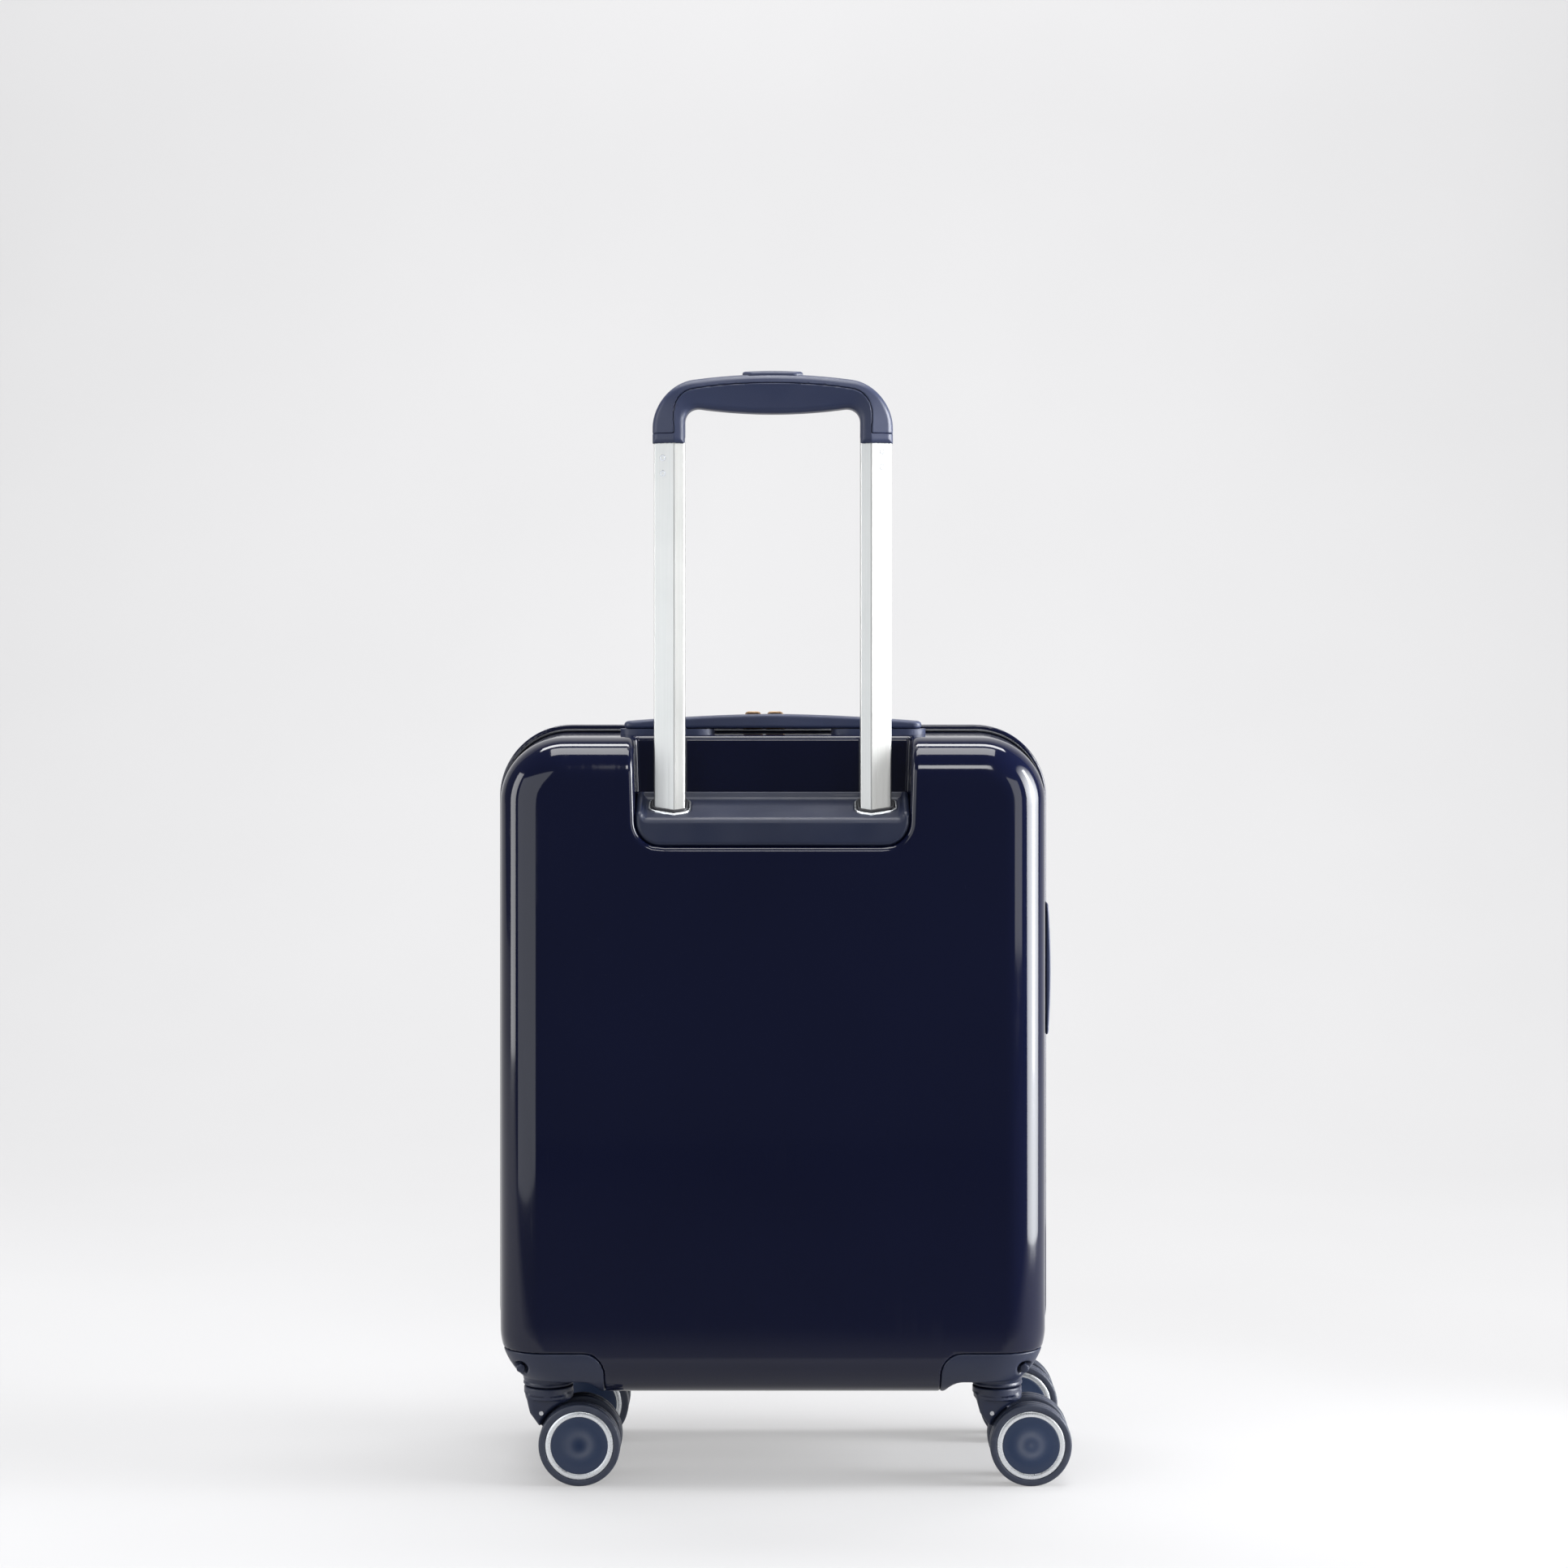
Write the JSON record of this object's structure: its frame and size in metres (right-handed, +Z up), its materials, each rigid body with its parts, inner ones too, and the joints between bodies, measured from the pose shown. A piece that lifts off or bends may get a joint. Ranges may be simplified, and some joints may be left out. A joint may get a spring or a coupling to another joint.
{
  "type": "hard shell suitcase on wheels",
  "caption": "Upright hard shell cabin suitcase on swivelling casters, with a telescopic pull handle in a rear pocket, a zipped opening and two carry handles.",
  "frame": {"origin": "on the floor, under the middle of the whole model's box", "axes": "+Z up, +X to the right as seen from the pull handle's side, +Y from the pull handle's side to the front face"},
  "size_m": [0.412, 0.2, 0.79],
  "materials": {
    "gloss_shell": "glossy dark navy polycarbonate",
    "soft_touch": "matte navy soft-touch plastic",
    "wheel_cap": "satin bluish navy plastic",
    "dark_plastic": "dark matte plastic",
    "tube": "satin anodised",
    "silver_trim": "satin silver",
    "bronze": "bronze coloured zinc casting",
    "steel": "plated",
    "tyre": "moulded polyurethane",
    "lining": "woven polyester",
    "zip_tape": "woven tape"
  },
  "bodies": {
    "back_half": {"back_shell": "gloss_shell", "back_zip_tape": "zip_tape", "trolley_housing": "soft_touch", "tube_bezels": "silver_trim", "outer_tubes": "tube", "trolley_foot": "dark_plastic", "back_lining": "lining", "housing_back_left": "soft_touch", "housing_back_right": "soft_touch", "back_kingpins": "steel", "back_housing_bolts": "steel", "carry_handle_bases": "soft_touch", "side_handle_bases": "soft_touch", "fabric_hinge": "lining"},
    "front_half": {"front_shell": "gloss_shell", "rim_bead": "gloss_shell", "front_zip_tape": "zip_tape", "front_lining": "lining", "housing_front_left": "soft_touch", "housing_front_right": "soft_touch", "front_kingpins": "steel", "front_housing_bolts": "steel"},
    "carry_handle": {"carry_handle": "soft_touch"},
    "side_handle": {"side_handle": "soft_touch"},
    "mid_tubes": {"mid_tubes": "tube", "mid_tube_collars": "dark_plastic"},
    "pull_handle": {"inner_tubes": "tube", "grip_body": "soft_touch", "grip_cover": "soft_touch", "grip_screws": "steel"},
    "release": {"grip_button": "soft_touch", "release_yoke": "dark_plastic"},
    "zip_slider_left": {"zip_slider_left": "bronze"},
    "zip_slider_right": {"zip_slider_right": "bronze"},
    "zip_pull_left": {"zip_pull_left": "bronze"},
    "zip_pull_right": {"zip_pull_right": "bronze"},
    "fork_back_left": {"fork_back_left": "soft_touch", "fork_pin_back_left": "steel"},
    "wheels_back_left": {"axle_back_left": "steel", "tyres_back_left": "tyre", "hubs_back_left": "wheel_cap", "wheel_rings_back_left": "silver_trim"},
    "fork_back_right": {"fork_back_right": "soft_touch", "fork_pin_back_right": "steel"},
    "wheels_back_right": {"axle_back_right": "steel", "tyres_back_right": "tyre", "hubs_back_right": "wheel_cap", "wheel_rings_back_right": "silver_trim"},
    "fork_front_left": {"fork_front_left": "soft_touch", "fork_pin_front_left": "steel"},
    "wheels_front_left": {"axle_front_left": "steel", "tyres_front_left": "tyre", "hubs_front_left": "wheel_cap", "wheel_rings_front_left": "silver_trim"},
    "fork_front_right": {"fork_front_right": "soft_touch", "fork_pin_front_right": "steel"},
    "wheels_front_right": {"axle_front_right": "steel", "tyres_front_right": "tyre", "hubs_front_right": "wheel_cap", "wheel_rings_front_right": "silver_trim"}
  },
  "joints": [
    {"name": "pull_handle_lower_stage", "type": "slide", "parent": "back_half", "child": "mid_tubes", "axis": [0, 0, 1], "range_m": [0, 0.25]},
    {"name": "pull_handle_upper_stage", "type": "slide", "parent": "mid_tubes", "child": "pull_handle", "axis": [0, 0, 1], "range_m": [-0.25, 0]},
    {"name": "release_press", "type": "slide", "parent": "pull_handle", "child": "release", "axis": [0, 0, -1], "range_m": [0, 0.0035], "stiffness_N_per_m": 600, "springref_m": -0.003},
    {"name": "carry_handle_lift", "type": "slide", "parent": "back_half", "child": "carry_handle", "axis": [0, 0, 1], "range_m": [0, 0.012], "stiffness_N_per_m": 150, "springref_m": -0.004},
    {"name": "side_handle_lift", "type": "slide", "parent": "back_half", "child": "side_handle", "axis": [1, 0, 0], "range_m": [0, 0.008], "stiffness_N_per_m": 100, "springref_m": -0.002},
    {"name": "zip_slide_left", "type": "slide", "parent": "back_half", "child": "zip_slider_left", "axis": [-1, 0, 0], "range_m": [0, 0.12]},
    {"name": "zip_pull_turn_left", "type": "hinge", "parent": "zip_slider_left", "child": "zip_pull_left", "pos_m": [-0.0206, -0.009, 0.5424], "axis": [0, 1, 0], "range_deg": [0, 120]},
    {"name": "zip_slide_right", "type": "slide", "parent": "back_half", "child": "zip_slider_right", "axis": [1, 0, 0], "range_m": [0, 0.12]},
    {"name": "zip_pull_turn_right", "type": "hinge", "parent": "zip_slider_right", "child": "zip_pull_right", "pos_m": [-0.0044, -0.009, 0.5424], "axis": [0, -1, 0], "range_deg": [0, 120]},
    {"name": "case_opening", "type": "hinge", "parent": "back_half", "child": "front_half", "pos_m": [-0.2065, -0.009, 0.2985], "axis": [0, 0, 1], "range_deg": [0, 145]},
    {"name": "swivel_back_left", "type": "hinge", "parent": "back_half", "child": "fork_back_left", "pos_m": [-0.166, -0.06, 0.065], "axis": [0, 0, 1], "continuous": true},
    {"name": "wheels_turn_back_left", "type": "hinge", "parent": "fork_back_left", "child": "wheels_back_left", "pos_m": [-0.143, -0.06, 0.029], "axis": [0, 1, 0], "continuous": true},
    {"name": "swivel_back_right", "type": "hinge", "parent": "back_half", "child": "fork_back_right", "pos_m": [0.154, -0.06, 0.065], "axis": [0, 0, 1], "continuous": true},
    {"name": "wheels_turn_back_right", "type": "hinge", "parent": "fork_back_right", "child": "wheels_back_right", "pos_m": [0.177, -0.06, 0.029], "axis": [0, 1, 0], "continuous": true},
    {"name": "swivel_front_left", "type": "hinge", "parent": "front_half", "child": "fork_front_left", "pos_m": [-0.166, 0.06, 0.065], "axis": [0, 0, 1], "continuous": true},
    {"name": "wheels_turn_front_left", "type": "hinge", "parent": "fork_front_left", "child": "wheels_front_left", "pos_m": [-0.143, 0.06, 0.029], "axis": [0, 1, 0], "continuous": true},
    {"name": "swivel_front_right", "type": "hinge", "parent": "front_half", "child": "fork_front_right", "pos_m": [0.154, 0.06, 0.065], "axis": [0, 0, 1], "continuous": true},
    {"name": "wheels_turn_front_right", "type": "hinge", "parent": "fork_front_right", "child": "wheels_front_right", "pos_m": [0.177, 0.06, 0.029], "axis": [0, 1, 0], "continuous": true}
  ]
}
